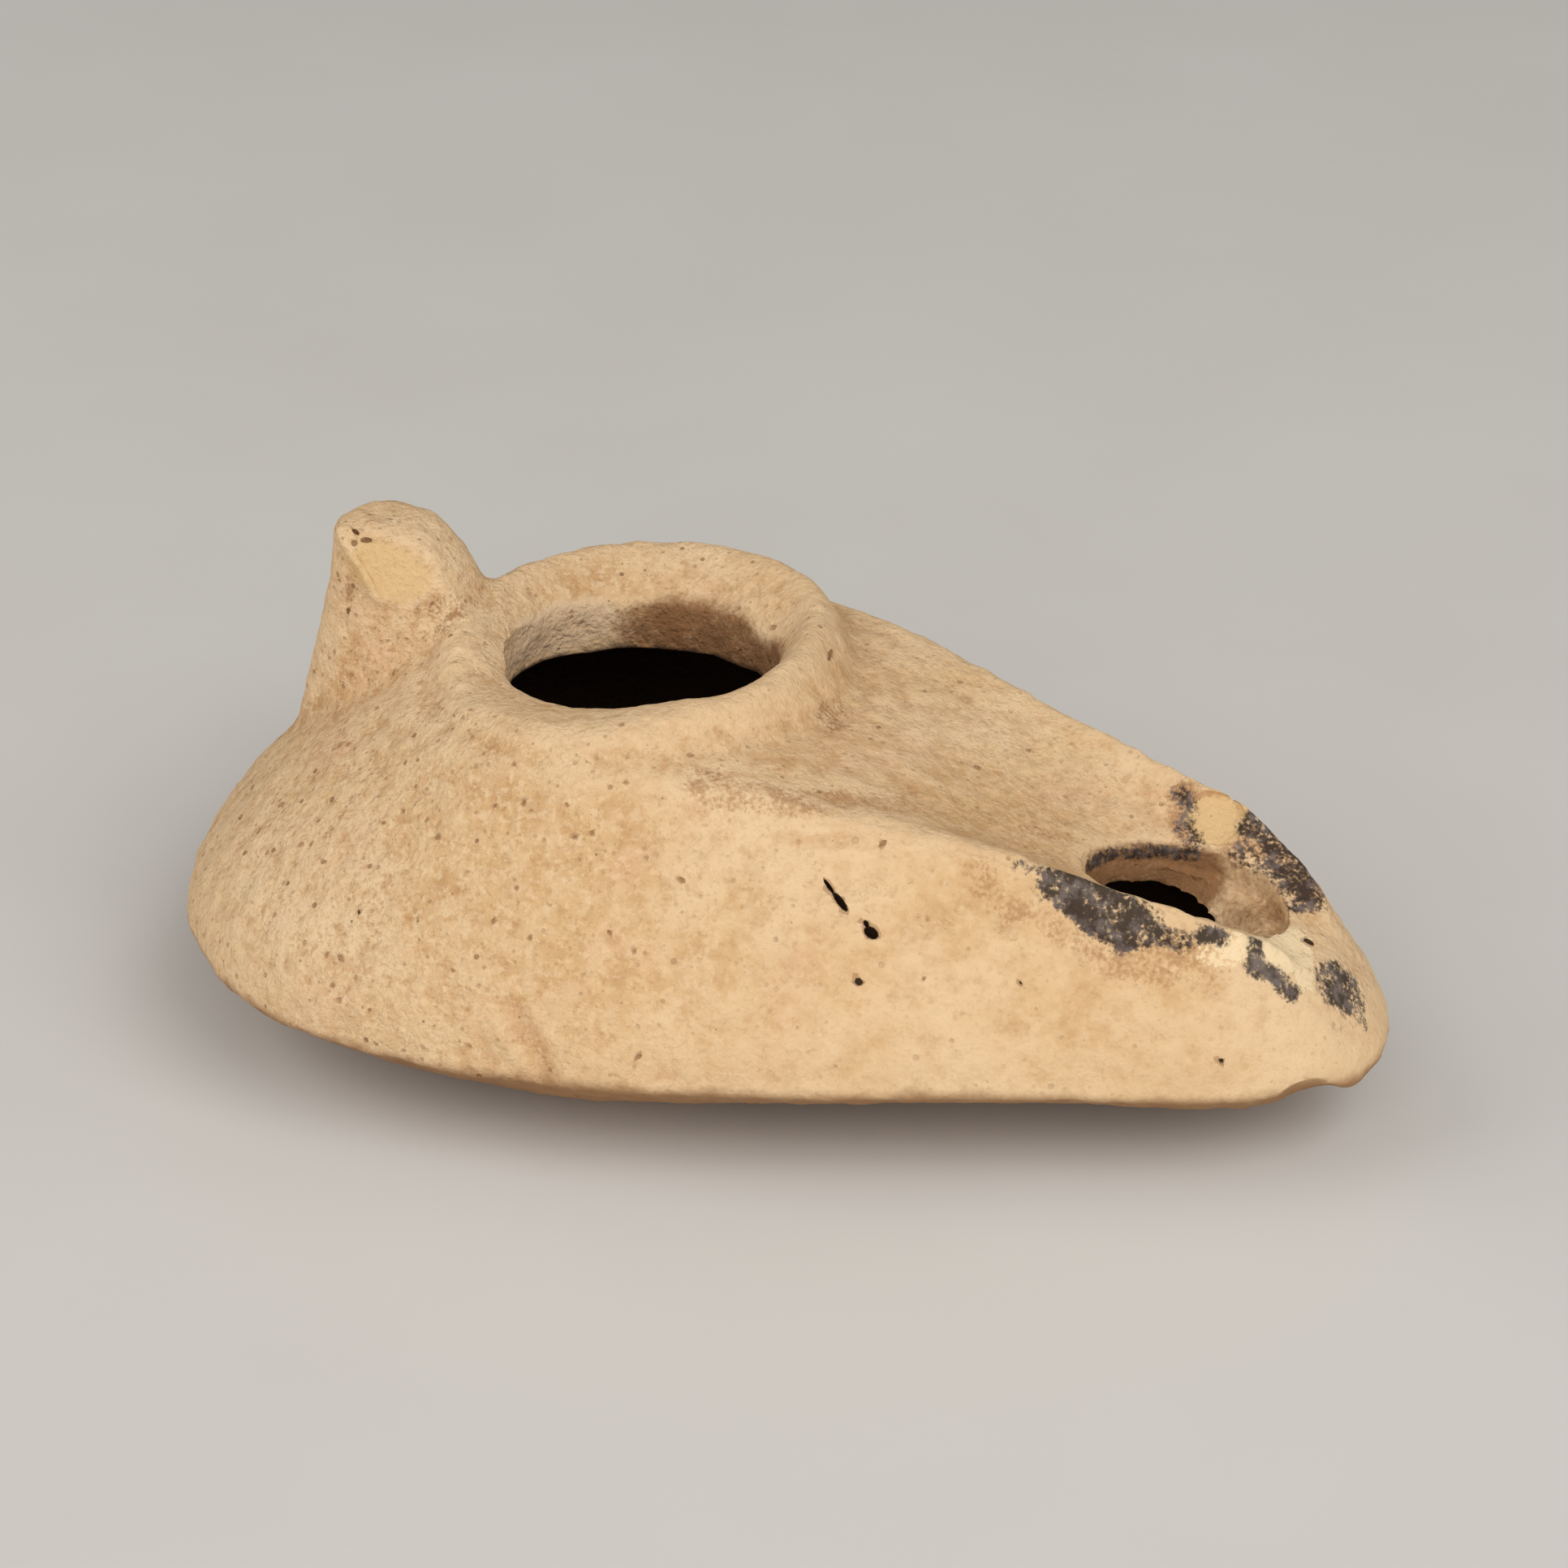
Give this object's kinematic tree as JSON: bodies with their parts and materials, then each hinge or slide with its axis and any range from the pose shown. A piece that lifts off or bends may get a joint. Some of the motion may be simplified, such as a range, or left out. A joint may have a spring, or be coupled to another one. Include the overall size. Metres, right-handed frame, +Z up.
{
  "type": "roman oil lamp",
  "caption": "Mould-made clay oil lamp of slipper form, with a ringed filling hole, a channel to the wick hole and a broken tongue handle; it stands on its flat base.",
  "frame": {"origin": "centre of the flat base, on its underside", "axes": "+Z up from the base, +X along the lamp towards the tip of the nozzle"},
  "size_m": [0.1019, 0.0648, 0.0392],
  "materials": {
    "fired_clay": "unglazed buff fired clay, worn and finely pitted, with soot round the wick hole, dirt in the creases and paler fresh chips"
  },
  "bodies": {
    "root": {"lamp": "fired_clay"}
  },
  "joints": []
}
